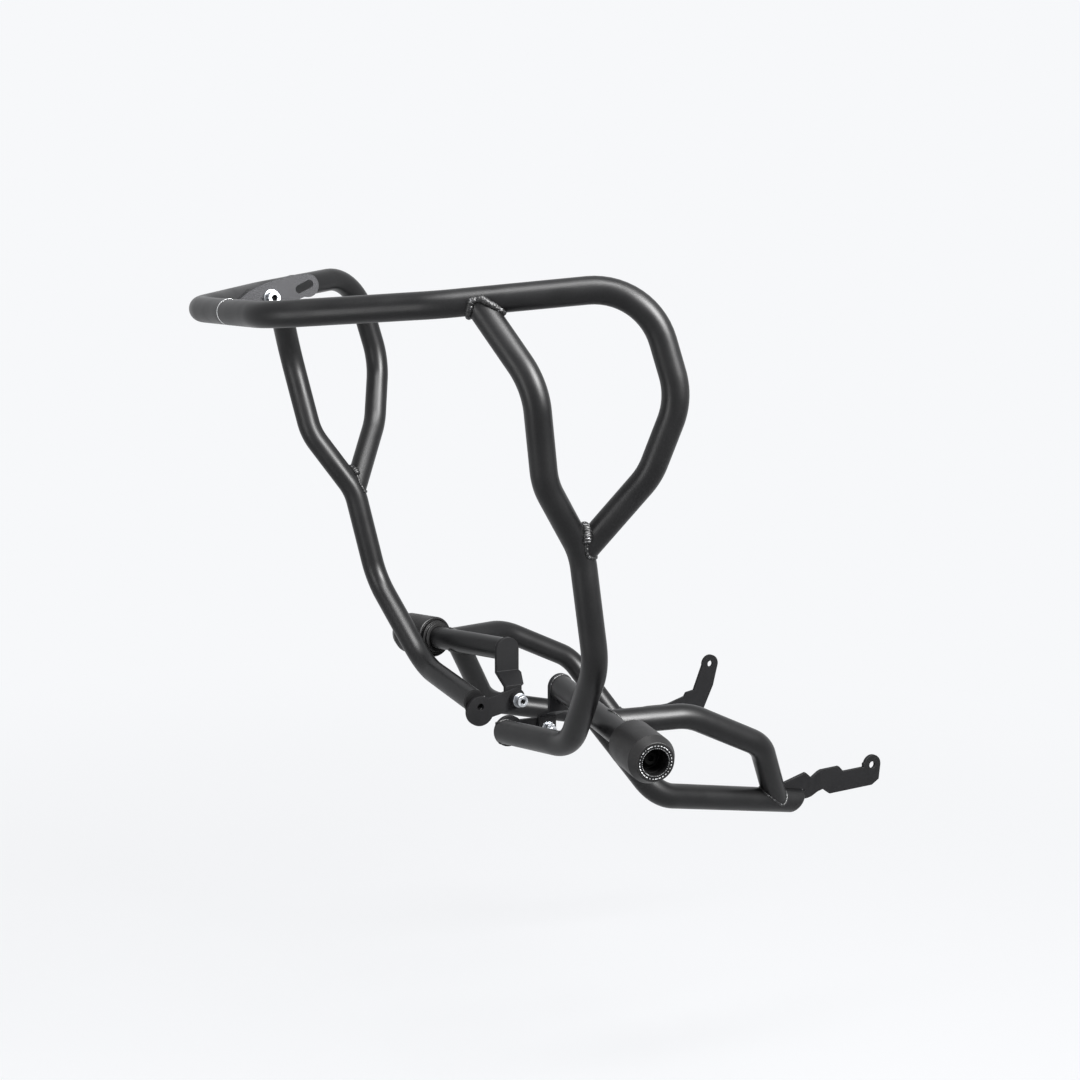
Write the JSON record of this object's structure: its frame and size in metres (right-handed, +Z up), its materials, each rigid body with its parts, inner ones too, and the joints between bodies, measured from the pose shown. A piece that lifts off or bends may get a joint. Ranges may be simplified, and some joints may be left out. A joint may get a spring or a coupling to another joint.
{
  "type": "motorcycle crash bars",
  "caption": "Tubular steel crash bars: an upper guard in two bolted halves with side loops, and lower guards with slider pads and rear brackets.",
  "frame": {"origin": "centre of the front bracket's slot, on the motorcycle's middle plane", "axes": "+X to the front wheel, +Y to the rider's left, +Z up"},
  "size_m": [0.7484, 0.721, 0.6086],
  "materials": {
    "powder_coat": "satin black powder coat on steel",
    "bracket_coat": "matt dark grey powder coat on flat steel",
    "boss_coat": "black coated steel",
    "slider_plastic": "turned black nylon",
    "knurled_ring": "bright knurled edge on a dark ring",
    "zinc_plate": "bright zinc plate"
  },
  "bodies": {
    "root": {"left_main_tube": "powder_coat", "right_main_tube": "powder_coat", "left_strut_tube": "powder_coat", "right_strut_tube": "powder_coat", "left_engine_plate": "powder_coat", "right_engine_plate": "powder_coat", "left_cross_tube": "powder_coat", "right_cross_tube": "powder_coat", "left_upper_loop": "powder_coat", "right_upper_loop": "powder_coat", "left_lower_loop": "powder_coat", "right_lower_loop": "powder_coat", "left_loop_cap": "powder_coat", "right_loop_cap": "powder_coat", "left_guard_bracket": "powder_coat", "right_guard_bracket": "powder_coat", "left_rear_bracket": "powder_coat", "right_rear_bracket": "powder_coat", "left_slider": "slider_plastic", "right_slider": "slider_plastic", "left_slider_ring": "knurled_ring", "right_slider_ring": "knurled_ring", "left_slider_screw": "zinc_plate", "right_slider_screw": "zinc_plate", "left_tube_plug": "zinc_plate", "right_tube_plug": "zinc_plate", "left_guard_screw": "zinc_plate", "right_guard_screw": "zinc_plate", "left_guard_washers": "zinc_plate", "right_guard_washers": "zinc_plate", "left_guard_boss": "boss_coat", "right_guard_boss": "boss_coat", "left_guard_nut": "zinc_plate", "right_guard_nut": "zinc_plate", "joint_spigot": "zinc_plate", "front_bracket": "bracket_coat", "front_tab": "powder_coat", "front_screw": "zinc_plate", "front_washers": "zinc_plate", "front_nut": "zinc_plate"}
  },
  "joints": []
}
